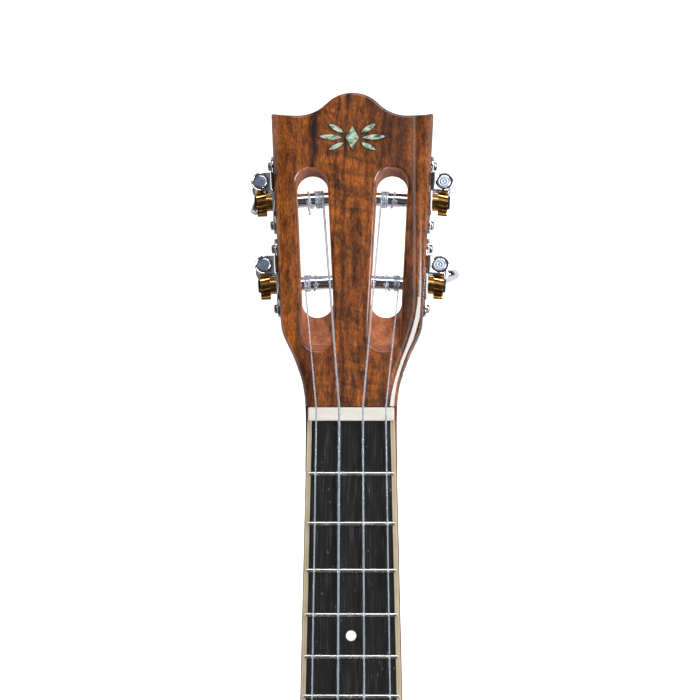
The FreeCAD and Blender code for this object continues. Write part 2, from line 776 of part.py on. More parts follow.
def build_bridge():
    half = size("bridge_length") / 2
    blank = box("bridge_blank", "Sizes.bridge_length", "Sizes.bridge_width", "Sizes.bridge_height",
                at(-half, saddle_y - 16.0, body_top))
    wings = []
    for name, x in (("left", -half - 1), ("right", 36.0)):
        wings.append(box(name + "_wing_tool", "Sizes.bridge_length / 2 - 35", "Sizes.bridge_width + 2",
                         "Sizes.bridge_height", at(x, saddle_y - 17.0, body_top + 3.2)))
    channel = box("tie_channel", "72", "3.4", "4", at(-36, saddle_y - 7.0, body_top + 4.2))
    slot = box("saddle_slot", "Sizes.saddle_length + 0.2", "Sizes.saddle_width + 0.02", "6",
               at(-size("saddle_length") / 2 - 0.1, saddle_y - size("saddle_width") / 2 - 0.01, body_top + 3))
    holes = []
    for name, _, x, radius, _ in STRINGS:
        holes.append(feature(name + "_tie_hole", Part.makeCylinder(
            radius + 0.25, 14, Vector(x, saddle_y - 18, tie_z), Vector(0, 1, 0))))
    shaped = cut("bridge_shaped", blank, *wings)
    doc.recompute()
    rounded = doc.addObject("Part::Fillet", "bridge_rounded")
    rounded.Base = shaped
    upper = body_top + 3.2 - 0.01
    bend = 0.9
    rounded.Edges = [(index, bend, bend) for index, edge in enumerate(shaped.Shape.Edges, start=1)
                     if edge.BoundBox.ZMin > upper and edge.BoundBox.ZLength < 0.01
                     and not 35.9 < abs(edge.BoundBox.Center.x) < 36.1]
    node("bridge", cut("bridge", rounded, channel, slot, *holes))

    bone = box("saddle_blank", "Sizes.saddle_length", "Sizes.saddle_width",
               "Sizes.saddle_top - Sizes.body_depth - 3",
               at(-size("saddle_length") / 2, saddle_y - size("saddle_width") / 2, body_top + 3))
    doc.recompute()
    crest = doc.addObject("Part::Fillet", "saddle")
    crest.Base = bone
    bend = size("saddle_round")
    crest.Edges = [(index, bend, bend) for index, edge in enumerate(bone.Shape.Edges, start=1)
                   if edge.BoundBox.ZMin > size("saddle_top") - 0.01 and edge.BoundBox.XLength > 10]
    node("saddle", crest)


def rod(points, radius):
    """A round bar through some points, mitred at each bend."""
    spine = Part.Wire([Part.makeLine(start, end) for start, end in zip(points, points[1:])])
    ring = Part.Wire(Part.makeCircle(radius, points[0], points[1] - points[0]))
    right_corner = 1
    return spine.makePipeShell([ring], True, False, right_corner)


def over_saddle(x, radius):
    """The string's two corners over the saddle's round back edge and down to its tie hole."""
    crest = Vector(x, saddle_y - size("saddle_width") / 2 + size("saddle_round"),
                   size("saddle_top") - size("saddle_round"))
    turn = math.radians(45)
    ride = (size("saddle_round") + radius + 0.02) / math.cos(turn / 2)
    bend = crest + Vector(0, -math.sin(turn / 2), math.cos(turn / 2)) * ride
    fall = bend.z - tie_z
    return [bend, bend + Vector(0, -fall / math.tan(turn), -fall)]


def wrap_place(tuner):
    """Where the straight string meets the post, and which way its turns step from there."""
    row = tuner.split("_")[0]
    return TOUCH[row], 1 if row == "upper" else -1


def string_touch(tuner, radius):
    """Where the straight string meets its post, in head space."""
    a, _ = wrap_place(tuner)
    ride = size("post_radius") + radius + 0.06
    point = tuner_frame(tuner).multVec(Vector(a, 0, ride - size("post_depth")))
    if tuner.endswith("left"):
        point.x = -point.x
    return point


def build_strings():
    for name, x_nut, x_saddle, radius, tuner in STRINGS:
        z_nut = size("string_action_nut")
        touch = HEAD.multVec(string_touch(tuner, radius))
        points = [
            touch,
            Vector(x_nut, nut_back_y - 0.2, z_nut),
            Vector(x_nut, nut_y + 0.2, z_nut),
            *over_saddle(x_saddle, radius),
            Vector(x_saddle, saddle_y - 16.8, tie_z),
        ]
        knot = Part.makeSphere(1.1, points[-1] + Vector(0, -0.9, 0))
        node(name, feature(name, rod(points, radius).fuse(knot)))


# ---------------------------------------------------------------- tuners
def along_a(radius, start, end, b=0.0, w=None):
    """A round bar along tuner space's a axis."""
    depth = -size("post_depth") if w is None else w
    return Part.makeCylinder(radius, end - start, Vector(start, b, depth), Vector(1, 0, 0))


def along_w(radius, low, high):
    """A round bar along the worm's axis."""
    return Part.makeCylinder(radius, high - low, Vector(size("worm_offset"), size("centre_distance"), low))


def countersink(radius, top):
    """A shallow cone that opens a bore's front edge."""
    depth = size("ear_chamfer")
    place = Vector(size("worm_offset"), size("centre_distance"), top - depth)
    return Part.makeCone(radius, radius + depth, depth, place)


def plate_shape():
    thickness = size("mount_plate")
    depth = size("post_depth")
    reach = size("worm_offset")
    radius = size("ear_radius")
    end = size("plate_end_radius")
    near = Vector(0, end - size("plate_nutward"), 0)
    far = Vector(0, size("plate_crownward") - end, 0)
    flat = Part.Face(stadium(near, far, end)).extrude(Vector(0, 0, thickness))
    half = size("plate_half_width")
    wide = Part.makeBox(2 * half, size("plate_wide_length"), thickness, Vector(-half, -7.0, 0))
    flat = flat.fuse(wide).removeSplitter()
    flat.Placement = Placement(Vector(0, 0, -depth), Rotation(Vector(0, 1, 0), 90))
    b = size("centre_distance")
    front = -size("ear_front")
    rear = -2 * depth + size("ear_front") + size("ear_thickness")
    pieces = []
    for top, hole in ((front, size("journal_radius")), (rear, size("rear_shaft_radius"))):
        low = top - size("ear_thickness")
        arm = Part.makeBox(reach, 2 * radius, size("ear_thickness"), Vector(0, b - radius, low))
        ear = arm.fuse(along_w(radius, low, top))
        bore = along_w(hole + size("post_clearance"), low - 1, top + 1)
        pieces.append(ear.cut([bore, countersink(hole + size("post_clearance"), top)]))
    floor = rear - size("ear_thickness")
    bridge_band = Part.makeBox(thickness, 2 * radius, front - floor, Vector(0, b - radius, floor))
    bracket = bridge_band.fuse(pieces).removeSplitter()
    bends = [edge for level in (front, floor) for edge in edges_where(bracket, near_level(level))
             if edge.BoundBox.XMax < 0.01]
    shape = flat.fuse(bracket.makeFillet(size("plate_bend"), bends))
    bores = [along_a(3.0 + size("post_clearance"), -1, 3)]
    bores += [along_a(1.3, -1, 3, place) for place in SCREW_PLACES]
    return shape.cut(Part.makeCompound(bores)).removeSplitter()


def screw_shape(place):
    head = along_a(1.85, size("mount_plate"), size("mount_plate") + 1.4, place)
    head = head.makeFillet(0.9, [edge for edge in head.Edges
                                 if edge.BoundBox.XMin > size("mount_plate") + 1.3])
    shank = along_a(1.2, -6.5, size("mount_plate"), place)
    base = Vector(size("mount_plate") + 0.9, place, -size("post_depth"))
    long, wide, deep = 2.2, 0.45, 0.7
    cross = Part.makeCompound([
        Part.makeBox(deep, long, wide, base - Vector(0, long / 2, wide / 2)),
        Part.makeBox(deep, wide, long, base - Vector(0, wide / 2, long / 2))])
    return head.fuse(shank).cut(cross)


def post_shape():
    body = along_a(size("post_radius"), -size("post_inner_end"), -0.2)
    collar = along_a(3.0, -0.2, size("mount_plate") + 0.1)
    gear_end = size("worm_offset") + size("gear_face") / 2
    seat = along_a(size("seat_radius"), size("mount_plate") + 0.1, gear_end)
    shape = body.fuse([collar, seat])
    return shape.cut(along_a(0.85, 3.0, 9.0))


def gear_shape():
    """A helical gear whose teeth lean by the worm's lead angle, with a plain hub on the plate's side."""
    teeth = int(size("gear_teeth"))
    face = size("gear_face")
    pitch = size("tooth_module") * teeth / 2
    lead = math.pi * size("tooth_module")
    pitch_worm = size("centre_distance") - pitch
    lean = lead / (2 * math.pi * pitch_worm)
    root = size("gear_root")
    outer = size("gear_outer")
    root_half = size("tooth_half_root")
    tip_half = size("tooth_half_tip")
    twist = math.degrees(face * lean / pitch)

    def outline(turn, a):
        points = []
        for index in range(teeth):
            middle = 2 * math.pi * index / teeth + math.radians(turn)
            points.append((root, middle - root_half / root))
            points.append((outer, middle - tip_half / outer))
            points.append((outer, middle + tip_half / outer))
            points.append((root, middle + root_half / root))
        corners = [Vector(a, r * math.cos(t), -size("post_depth") + r * math.sin(t)) for r, t in points]
        return Part.makePolygon(corners + [corners[0]])

    start = size("worm_offset") - face / 2
    band = Part.makeLoft([outline(-twist / 2, start), outline(twist / 2, start + face)], True, True)
    hub = along_a(size("gear_hub_radius"), size("mount_plate") + 0.15, start)
    bore = along_a(size("seat_radius") + 0.02, 0, start + face + 1)
    return band.fuse(hub).cut(bore)


def gear_screw_shape():
    start = size("worm_offset") + size("gear_face") / 2
    head = along_a(2.9, start, start + 1.0)
    head = head.makeFillet(0.6, [edge for edge in head.Edges if edge.BoundBox.XMin > start + 0.9])
    shank = along_a(0.8, 3.2, start)
    slot = Part.makeBox(0.6, 5.0, 0.6, Vector(start + 0.6, -2.5, -size("post_depth") - 0.3))
    return head.fuse(shank).cut(slot)


def worm_shape():
    """The worm with its front journal, thread, rear shaft and the stem that the button sits on."""
    depth = size("post_depth")
    front = -size("ear_front")
    rear = -2 * depth + size("ear_front")
    lead = math.pi * size("tooth_module")
    journal = along_w(size("journal_radius"), front - size("ear_thickness") - 0.1, front + 0.15)
    rim = [edge for edge in journal.Edges if edge.BoundBox.ZMin > front + 0.1]
    journal = journal.makeChamfer(size("ear_chamfer"), rim)
    core = along_w(size("worm_root"), rear + 1.0, front - size("ear_thickness"))
    shaft = along_w(size("rear_shaft_radius"), rear - 0.3, rear + 1.5)
    stem = along_w(size("stem_radius"), -size("button_start") - 6.0, rear - 0.3)
    turns_low = rear + 2.1
    turns_high = front - size("ear_thickness") - 1.7
    helix = Part.makeHelix(lead, turns_high - turns_low, size("worm_root"))
    root = size("worm_root") - 0.25
    tip = size("worm_outer")
    wide = size("thread_half_root")
    narrow = size("thread_half_tip")
    profile = Part.makePolygon([
        Vector(root, 0, -wide), Vector(tip, 0, -narrow), Vector(tip, 0, narrow), Vector(root, 0, wide),
        Vector(root, 0, -wide)])
    thread = Part.Wire(helix).makePipeShell([Part.Wire(profile)], True, True)
    thread.Placement = Placement(
        Vector(size("worm_offset"), size("centre_distance"), turns_low),
        Rotation(Vector(0, 0, 1), size("worm_phase")))
    return core.fuse([thread, journal, shaft, stem])


def button_shape(turn):
    """An oval metal paddle on a round hub, turned about the worm's axis."""
    top = -size("button_start")
    height = size("button_height")
    half = size("button_half_length")
    thick = size("button_thickness")
    ellipse = Part.Ellipse(Vector(0, 0, 0), half, height / 2)
    paddle = Part.Face(Part.Wire(ellipse.toShape())).extrude(Vector(0, 0, thick))
    paddle = paddle.makeFillet(thick * 0.38, [edge for edge in paddle.Edges if edge.Length > 20])
    # the oval's long axis lies along the head, its short one along the worm
    paddle.Placement = Placement(Vector(-thick / 2, 0, top - height / 2), Rotation(
        Vector(0, 1, 0), Vector(0, 0, 1), Vector(1, 0, 0), "XYZ"))
    hub = Part.makeCylinder(size("hub_radius"), height, Vector(0, 0, top - height))
    hub = hub.makeFillet(0.7, [edge for edge in hub.Edges if abs(edge.BoundBox.ZLength) < 0.01])
    shape = paddle.fuse(hub)
    shape = shape.cut(Part.makeCylinder(size("stem_radius") + 0.02, 6.3, Vector(0, 0, top - 6.2)))
    shape = shape.cut(Part.makeCylinder(0.65, height, Vector(0, 0, top - height - 1)))
    shape.Placement = Placement(
        Vector(size("worm_offset"), size("centre_distance"), 0), Rotation(Vector(0, 0, 1), turn))
    return shape


def button_screw_shape():
    top = -size("button_start") - size("button_height")
    head = along_w(1.7, top - 0.9, top)
    head = head.makeFillet(0.5, [edge for edge in head.Edges if edge.BoundBox.ZMax < top - 0.8])
    shank = along_w(0.6, top, top + 5.0)
    corner = Vector(size("worm_offset") - 0.25, size("centre_distance") - 2, top - 0.95)
    slot = Part.makeBox(0.5, 4, 0.5, corner)
    return head.fuse(shank).cut(slot)


def wrap_shape(tuner, radius):
    """The turns on the post, as rings that touch side by side."""
    start, step = wrap_place(tuner)
    ride = size("post_radius") + radius + 0.02
    rings = []
    for index in range(1, 5):
        a = start + step * index * (2 * radius + 0.04)
        rings.append(Part.makeTorus(ride, radius, Vector(a, 0, -size("post_depth")), Vector(1, 0, 0)))
    return Part.makeCompound(rings)


def build_tuners():
    shapes = {
        "plate": plate_shape(),
        "worm": worm_shape(),
        "button_screw": button_screw_shape(),
        "post": post_shape(),
        "gear": gear_shape(),
        "gear_screw": gear_screw_shape(),
    }
    radius_of = {tuner: radius for _, _, _, radius, tuner in STRINGS}
    screws = []
    for tuner in TUNERS:
        place = HEAD.multiply(tuner_frame(tuner))
        pieces = dict(shapes)
        pieces["button"] = button_shape(BUTTON_TURN[tuner])
        pieces["string_wrap"] = wrap_shape(tuner, radius_of[tuner])
        for index, b in enumerate(SCREW_PLACES):
            pieces[f"screw_{index}"] = screw_shape(b)
        for piece, shape in pieces.items():
            name = f"{tuner}_{piece}"
            obj = feature(name + "_right", shape, place.multiply(shape.Placement))
            obj = mirror(name, obj) if tuner.endswith("left") else group(name, obj)
            if piece.startswith("screw_"):
                screws.append(obj)
            else:
                node(name, obj)
    node("tuner_mount_screws", group("tuner_mount_screws", *screws))


# ---------------------------------------------------------------- build, check and write
def check_and_write():
    doc.recompute()
    for obj in doc.Objects:
        if "Invalid" in obj.State or "Error" in obj.State:
            raise RuntimeError(f"{obj.Name} did not compute: {obj.State}")
    os.makedirs("parts", exist_ok=True)
    for label, obj in nodes:
        shape = obj.Shape
        if shape.isNull() or not shape.isValid() or not shape.Solids:
            raise RuntimeError(f"{label} is not a valid solid")
        print(f"{label:28s} solids {len(shape.Solids):2d} volume {shape.Volume:10.1f}")
        shape.exportStep(f"parts/{label}.step")
    print(len(nodes), "nodes")


rim = build_body()
build_neck(rim)
build_veneer()
build_fretboard()
build_bridge()
build_strings()
build_tuners()
check_and_write()
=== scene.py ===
import json
import math

import bmesh
import bpy
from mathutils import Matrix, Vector


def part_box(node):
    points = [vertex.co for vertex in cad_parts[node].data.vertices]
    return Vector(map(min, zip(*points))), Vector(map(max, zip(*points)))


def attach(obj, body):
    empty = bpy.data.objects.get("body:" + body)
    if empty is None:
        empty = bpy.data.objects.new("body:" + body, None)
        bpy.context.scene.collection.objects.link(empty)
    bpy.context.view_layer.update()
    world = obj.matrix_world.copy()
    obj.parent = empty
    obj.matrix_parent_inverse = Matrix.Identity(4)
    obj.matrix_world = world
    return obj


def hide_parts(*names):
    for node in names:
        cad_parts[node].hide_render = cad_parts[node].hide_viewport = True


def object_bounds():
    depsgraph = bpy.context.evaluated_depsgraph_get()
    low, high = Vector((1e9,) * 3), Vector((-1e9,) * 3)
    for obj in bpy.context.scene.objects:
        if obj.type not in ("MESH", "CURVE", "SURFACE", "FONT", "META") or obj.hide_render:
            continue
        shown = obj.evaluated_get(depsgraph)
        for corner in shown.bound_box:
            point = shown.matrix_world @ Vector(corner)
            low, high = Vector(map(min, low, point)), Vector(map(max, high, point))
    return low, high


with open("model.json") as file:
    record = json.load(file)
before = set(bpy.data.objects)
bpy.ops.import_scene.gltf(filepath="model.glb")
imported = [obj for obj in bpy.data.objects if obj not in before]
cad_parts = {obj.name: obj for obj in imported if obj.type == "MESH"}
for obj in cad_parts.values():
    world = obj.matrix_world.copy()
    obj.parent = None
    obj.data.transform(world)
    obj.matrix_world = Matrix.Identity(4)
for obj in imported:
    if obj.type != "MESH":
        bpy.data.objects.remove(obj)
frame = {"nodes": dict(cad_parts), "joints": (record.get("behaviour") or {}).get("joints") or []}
cad_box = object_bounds()

MM = 0.001
NODES = frame["nodes"]
JOINTS = {joint["name"]: joint for joint in frame["joints"]}
TUNERS = ("upper_left", "lower_left", "upper_right", "lower_right")
STRINGS = ("string_g", "string_c", "string_e", "string_a")
WHOLE_TURN = 2 * math.pi
# vertices nearer than this are one vertex
WELD_DISTANCE = 0.001 * MM


def fill_ramp(ramp, stops):
    """Give a colour ramp its stops, as (position, colour) pairs."""
    elements = ramp.color_ramp.elements
    while len(elements) < len(stops):
        elements.new(0.5)
    for element, (position, colour) in zip(elements, stops):
        element.position = position
        element.color = (*colour, 1.0)


# ---------------------------------------------------------------- shader helpers
class Shader:
    """One node material: a Principled shader and the nodes that feed it."""

    def __init__(self, name, **sockets):
        self.material = bpy.data.materials.new(name)
        self.material.use_nodes = True
        self.tree = self.material.node_tree
        self.surface = self.tree.nodes["Principled BSDF"]
        self.coordinates = self.add("ShaderNodeTexCoord").outputs["Object"]
        for socket, value in sockets.items():
            self.set(socket.replace("_", " "), value)

    def add(self, kind, **properties):
        node = self.tree.nodes.new(kind)
        for name, value in properties.items():
            setattr(node, name, value)
        return node

    def link(self, output, socket):
        self.tree.links.new(output, socket)

    def set(self, socket, value):
        target = self.surface.inputs[socket]
        if isinstance(value, bpy.types.NodeSocket):
            self.link(value, target)
        elif isinstance(value, tuple) and len(value) == 3 and len(target.default_value) == 4:
            target.default_value = (*value, 1.0)
        else:
            target.default_value = value

    def feed(self, node, index, value):
        if isinstance(value, bpy.types.NodeSocket):
            self.link(value, node.inputs[index])
        else:
            node.inputs[index].default_value = value

    def maths(self, operation, first, second=0.0, third=0.0):
        node = self.add("ShaderNodeMath", operation=operation)
        for index, value in enumerate((first, second, third)):
            self.feed(node, index, value)
        return node.outputs[0]

    def stretch(self, scale, source=None, shift=(0.0, 0.0, 0.0)):
        node = self.add("ShaderNodeMapping")
        self.link(source or self.coordinates, node.inputs["Vector"])
        node.inputs["Scale"].default_value = scale
        node.inputs["Location"].default_value = shift
        return node.outputs["Vector"]

    def lean(self, source, turn):
        node = self.add("ShaderNodeVectorRotate", rotation_type="Z_AXIS")
        self.link(source, node.inputs["Vector"])
        node.inputs["Angle"].default_value = turn
        return node.outputs["Vector"]

    def noise(self, vector, scale, detail=3.0, roughness=0.5, distortion=0.0):
        node = self.add("ShaderNodeTexNoise")
        self.link(vector, node.inputs["Vector"])
        node.inputs["Scale"].default_value = scale
        node.inputs["Detail"].default_value = detail
        node.inputs["Roughness"].default_value = roughness
        node.inputs["Distortion"].default_value = distortion
        return node.outputs["Fac"]

    def ramp(self, value, *stops):
        """Stops are (position, grey or colour)."""
        node = self.add("ShaderNodeValToRGB")
        self.link(value, node.inputs["Fac"])
        fill_ramp(node, [(position, (shade,) * 3 if isinstance(shade, float) else shade)
                         for position, shade in stops])
        return node.outputs["Color"]

    def mix(self, first, second, amount=1.0, blend="MIX"):
        node = self.add("ShaderNodeMix", data_type="RGBA", blend_type=blend)
        node.clamp_result = False
        self.feed(node, 0, amount)
        for index, value in ((6, first), (7, second)):
            if isinstance(value, tuple):
                value = (*value, 1.0)
            self.feed(node, index, value)
        return node.outputs[2]

    def axis(self, name, source=None):
        node = self.add("ShaderNodeSeparateXYZ")
        self.link(source or self.coordinates, node.inputs[0])
        return node.outputs[name]

    def bump(self, height, strength=1.0, distance=1.0, socket="Normal"):
        node = self.add("ShaderNodeBump")
        node.inputs["Strength"].default_value = strength
        node.inputs["Distance"].default_value = distance
        self.link(height, node.inputs["Height"])
        self.set(socket, node.outputs["Normal"])


# ---------------------------------------------------------------- woods
def figured_wood(name, along, palette, streaks=(), curl=0.25, middle=None, roughness=0.4, coat=0.4,
                 contrast=0.95, shift=(0.0, 0.0, 0.0), tint=None, finish=None):
    """Lacquered wood whose grain runs where `along` is small, with wavy curl across it and dark streaks.

    The curl is strongest within `middle` of x = 0, when that is given. Each streak is (its x at y = 0, how
    much that grows with y, half width, depth, and the y range that it fades in over, or None). `tint` changes
    the finished colour, and `finish` gives the lacquer's height.
    """
    s = Shader(name, Roughness=roughness, Specular_IOR_Level=0.08, Coat_Weight=coat, Coat_Roughness=0.1,
               Coat_IOR=1.65)
    place = s.stretch((1.0, 1.0, 1.0), shift=shift)
    grain = s.stretch(along, place)
    dark, mid, light = palette
    broad = s.noise(grain, 75.0, 4.0, 0.60, 0.3)
    colour = s.ramp(broad, (0.30, dark), (0.43, mid), (0.56, light), (0.72, mid))
    # growth lines, fine fibres and short open pores
    lines = s.noise(grain, 480.0, 4.0, 0.66, 0.15)
    colour = s.mix(colour, s.ramp(lines, (0.34, 0.28), (0.48, 1.0), (0.64, 1.60)), contrast, "MULTIPLY")
    fibre = s.noise(s.stretch(tuple(part * 1.4 for part in along), place), 1700.0, 3.0, 0.7)
    colour = s.mix(colour, s.ramp(fibre, (0.32, 0.35), (0.50, 1.0), (0.68, 1.85)), contrast, "MULTIPLY")
    pores = s.noise(s.stretch(tuple(part * 1.8 for part in along), place), 3200.0, 2.0, 0.5)
    colour = s.mix(colour, s.ramp(pores, (0.34, 0.30), (0.42, 1.0)), 0.6 * contrast, "MULTIPLY")
    # the curl: soft bands that lean across the grain, and come and go along it
    across = tuple(1.0 if part < 0.5 else 0.24 for part in along)
    waves = s.noise(s.stretch(across, s.lean(place, 0.22)), 300.0, 2.0, 0.55, 1.0)
    patches = s.ramp(s.noise(place, 26.0, 1.0), (0.40, 0.15), (0.56, 1.0))
    x = s.axis("X")
    if middle:
        away = s.maths("DIVIDE", s.maths("ABSOLUTE", x), middle)
        patches = s.mix(patches, s.ramp(away, (0.55, 1.0), (1.0, 0.25)), 1.0, "MULTIPLY")
    bands = s.ramp(waves, (0.38, 1.0 - curl), (0.50, 1.0), (0.62, 1.0 + curl))
    colour = s.mix(colour, bands, patches, "MULTIPLY")
    drift = s.noise(s.stretch((0.2, 1.0, 0.2), place), 30.0, 2.0)
    ragged = s.noise(grain, 700.0, 3.0, 0.6)
    for centre, slant, width, depth, fade in streaks:
        offset = s.maths("SUBTRACT", x, s.maths("MULTIPLY_ADD", s.axis("Y"), slant, centre))
        offset = s.maths("MULTIPLY_ADD", s.maths("SUBTRACT", drift, 0.5), 7 * MM, offset)
        near = s.maths("DIVIDE", s.maths("ABSOLUTE", offset), width)
        near = s.maths("MULTIPLY_ADD", s.maths("SUBTRACT", ragged, 0.5), 1.6, near)
        if fade:
            start, end = fade
            gone = s.maths("DIVIDE", s.maths("SUBTRACT", s.axis("Y"), start), end - start)
            near = s.maths("ADD", near, s.maths("SUBTRACT", 1.0, s.maths("MINIMUM", gone, 1.0)))
        shade = s.ramp(near, (0.15, tuple(part * (1.0 - depth) for part in (1.00, 0.95, 0.95))), (1.0, 1.0))
        colour = s.mix(colour, shade, 1.0, "MULTIPLY")
    s.set("Base Color", tint(s, colour) if tint else colour)
    height = s.maths("MULTIPLY", s.maths("ADD", lines, fibre), 0.02 * MM)
    s.bump(height)
    if finish:
        ripple = s.maths("MULTIPLY", s.noise(s.stretch((1.0, 0.3, 1.0)), 110.0, 2.0), 0.012 * MM)
        s.bump(s.maths("ADD", finish(s), ripple), socket="Coat Normal")
    return s.material


ALONG_Y = (1.0, 0.040, 1.0)
ALONG_RIM = (0.040, 0.040, 1.0)
KOA = ((0.038, 0.0086, 0.0015), (0.094, 0.0235, 0.0030), (0.180, 0.0490, 0.0062))
MAHOGANY = ((0.17, 0.055, 0.026), (0.29, 0.095, 0.044), (0.38, 0.135, 0.064))
SPRUCE = ((0.42, 0.27, 0.13), (0.58, 0.40, 0.21), (0.66, 0.48, 0.27))


def side_line():
    """The head's right-hand side as (x, slope) at y = 0, from the two posts that stand on it."""
    low = Vector(JOINTS["lower_right_post_turn"]["pos_m"])
    high = Vector(JOINTS["upper_right_post_turn"]["pos_m"])
    slope = (high.x - low.x) / (high.y - low.y)
    return low.x - slope * low.y, slope


def face_up():
    """The direction out of the tilted head's face."""
    return Vector(JOINTS["upper_right_button_turn"]["axis"]).normalized()


FLARE_LENGTH = 45 * MM
ROLL_WIDTH = 4.6 * MM
ROLL_DEPTH = 1.5 * MM
# past these, across from the middle and crownwards from the nut, the head has no slots
SLOTS_OUTER_WALL = 24.5 * MM
SLOTS_START = 20 * MM


def rolled_edge(s):
    """The lacquer's height, which falls away over the last few millimetres beside the head's outline."""
    start, slope = side_line()
    side = s.maths("MULTIPLY_ADD", s.axis("Y"), slope, start)
    nut_low, nut_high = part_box("nut")
    flare_end = nut_high.y + FLARE_LENGTH
    flare = s.add("ShaderNodeMapRange", interpolation_type="SMOOTHSTEP")
    s.link(s.axis("Y"), flare.inputs["Value"])
    flare.inputs["From Min"].default_value = nut_high.y - 1.4 * MM
    flare.inputs["From Max"].default_value = flare_end
    flare.inputs["To Min"].default_value = (nut_high.x - nut_low.x) / 2 + 0.9 * MM
    flare.inputs["To Max"].default_value = start + slope * flare_end
    edge = s.maths("MINIMUM", side, flare.outputs["Result"])
    inside = s.maths("SUBTRACT", edge, s.maths("ABSOLUTE", s.axis("X")))
    roll = s.maths("MAXIMUM", s.maths("SUBTRACT", 1.0, s.maths("DIVIDE", inside, ROLL_WIDTH)), 0.0)
    return s.maths("MULTIPLY", s.maths("POWER", roll, 2.0), -ROLL_DEPTH)


def bare_slots(s, lacquered, bare, depth):
    """`bare` inside the head's slots, from `depth` below its face, and `lacquered` everywhere else."""
    up = face_up()
    top = max(vertex.co.dot(up) for vertex in NODES["head_veneer"].data.vertices)
    level = s.add("ShaderNodeVectorMath", operation="DOT_PRODUCT")
    s.link(s.coordinates, level.inputs[0])
    level.inputs[1].default_value = up
    below = s.maths("GREATER_THAN", top - depth, level.outputs["Value"])
    between = s.maths("LESS_THAN", s.maths("ABSOLUTE", s.axis("X")), SLOTS_OUTER_WALL)
    crownward = s.maths("GREATER_THAN", s.axis("Y"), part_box("nut")[1].y + SLOTS_START)
    inside = s.maths("MULTIPLY", below, s.maths("MULTIPLY", between, crownward))
    return s.mix(lacquered, bare, inside)


def head_koa():
    """Koa with a dark streak left of the crown, and a painted reflection down the right-hand rail: a dark
    band parallel to the side, for the dark mirrored in its lacquer.
    """
    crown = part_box("head_veneer")[1].y
    top = (crown - 58 * MM, crown - 22 * MM)
    slant = side_line()[1]
    rail = 28.4 * MM - slant * crown
    # the second streak, parallel to the right-hand side, is painted reflection: the dark mirrored in the
    # rail's lacquer
    streaks = ((-16.4 * MM, 0.0, 2.7 * MM, 0.90, top), (rail, slant, 2.4 * MM, 0.55, None),
               (-3.2 * MM, 0.0, 1.2 * MM, 0.55, None), (12.6 * MM, 0.0, 1.0 * MM, 0.45, top),
               (-6.9 * MM, 0.0, 0.8 * MM, 0.45, None), (6.6 * MM, 0.0, 0.9 * MM, 0.40, None))
    return figured_wood("koa_head", ALONG_Y, KOA, streaks, curl=0.34, middle=16 * MM, coat=0.9,
                        tint=lambda s, colour: bare_slots(s, colour, MAHOGANY[1], 0.35 * MM),
                        finish=rolled_edge)


def body_koa():
    return figured_wood("koa_body", ALONG_Y, KOA, curl=0.4, shift=(0.31, 0.12, 0.0))


def rim_koa():
    return figured_wood("koa_rim", ALONG_RIM, KOA, curl=0.4, shift=(0.1, 0.4, 0.2))


def mahogany():
    """Reddish wood, bare in the head's slots and stained dark brown under lacquer outside them."""
    return figured_wood("mahogany", ALONG_Y, MAHOGANY, curl=0.06, roughness=0.5, coat=0.15, contrast=0.45,
                        tint=lambda s, colour: bare_slots(
                            s, s.mix(colour, (0.34, 0.26, 0.22), 1.0, "MULTIPLY"), colour, 0.0))


def bare_wood():
    return figured_wood("bare_wood", ALONG_Y, SPRUCE, curl=0.05, roughness=0.75, coat=0.0)


def dark_wood(name, roughness=0.5):
    """Near-black wood with fine grey streaks along it, and a few lighter nicks."""
    s = Shader(name, Roughness=roughness, Specular_IOR_Level=0.25)
    grain = s.stretch(ALONG_Y)
    streaks = s.noise(grain, 1500.0, 4.0, 0.65, 0.1)
    colour = s.ramp(streaks, (0.32, (0.003, 0.003, 0.004)), (0.50, (0.006, 0.006, 0.007)),
                    (0.62, (0.020, 0.019, 0.021)), (0.76, (0.070, 0.065, 0.067)))
    broad = s.noise(grain, 220.0, 3.0, 0.5)
    colour = s.mix(colour, s.ramp(broad, (0.35, 0.50), (0.65, 1.30)), 1.0, "MULTIPLY")
    specks = s.noise(s.stretch((1.0, 0.4, 1.0)), 900.0, 2.0, 0.5)
    colour = s.mix(colour, s.ramp(specks, (0.70, 0.0), (0.78, (0.16, 0.15, 0.14))), 1.0, "ADD")
    s.set("Base Color", colour)
    s.bump(streaks, 0.12, 0.15 * MM)
    return s.material


# ---------------------------------------------------------------- trim materials
def cream_edging():
    """Cream plastic with a faint darker glue line along its middle."""
    s = Shader("cream_edging", Roughness=0.3, Coat_Weight=0.3)
    low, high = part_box("fretboard_binding")
    nut_low, nut_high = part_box("nut")
    nut_half = (nut_high.x - nut_low.x) / 2 + 0.25 * MM
    taper = (high.x - nut_half) / (high.y - low.y)
    half = s.maths("MULTIPLY_ADD", s.maths("SUBTRACT", high.y, s.axis("Y")), taper, nut_half)
    from_edge = s.maths("SUBTRACT", half, s.maths("ABSOLUTE", s.axis("X")))
    from_line = s.maths("ABSOLUTE", s.maths("SUBTRACT", from_edge, 1.0 * MM))
    line = s.ramp(s.maths("DIVIDE", from_line, 0.3 * MM), (0.35, 0.78), (1.0, 1.0))
    tint = s.ramp(s.noise(s.coordinates, 120.0), (0.3, (0.40, 0.33, 0.21)), (0.7, (0.50, 0.42, 0.30)))
    s.set("Base Color", s.mix(tint, line, 1.0, "MULTIPLY"))
    return s.material


def bone():
    s = Shader("bone", Roughness=0.32, Coat_Weight=0.2)
    cloud = s.noise(s.stretch((0.4, 1.0, 1.0)), 260.0, 4.0)
    s.set("Base Color", s.ramp(cloud, (0.3, (0.55, 0.52, 0.46)), (0.7, (0.63, 0.61, 0.56))))
    s.set("Subsurface Weight", 0.1)
    s.set("Subsurface Radius", (0.002, 0.0015, 0.001))
    return s.material


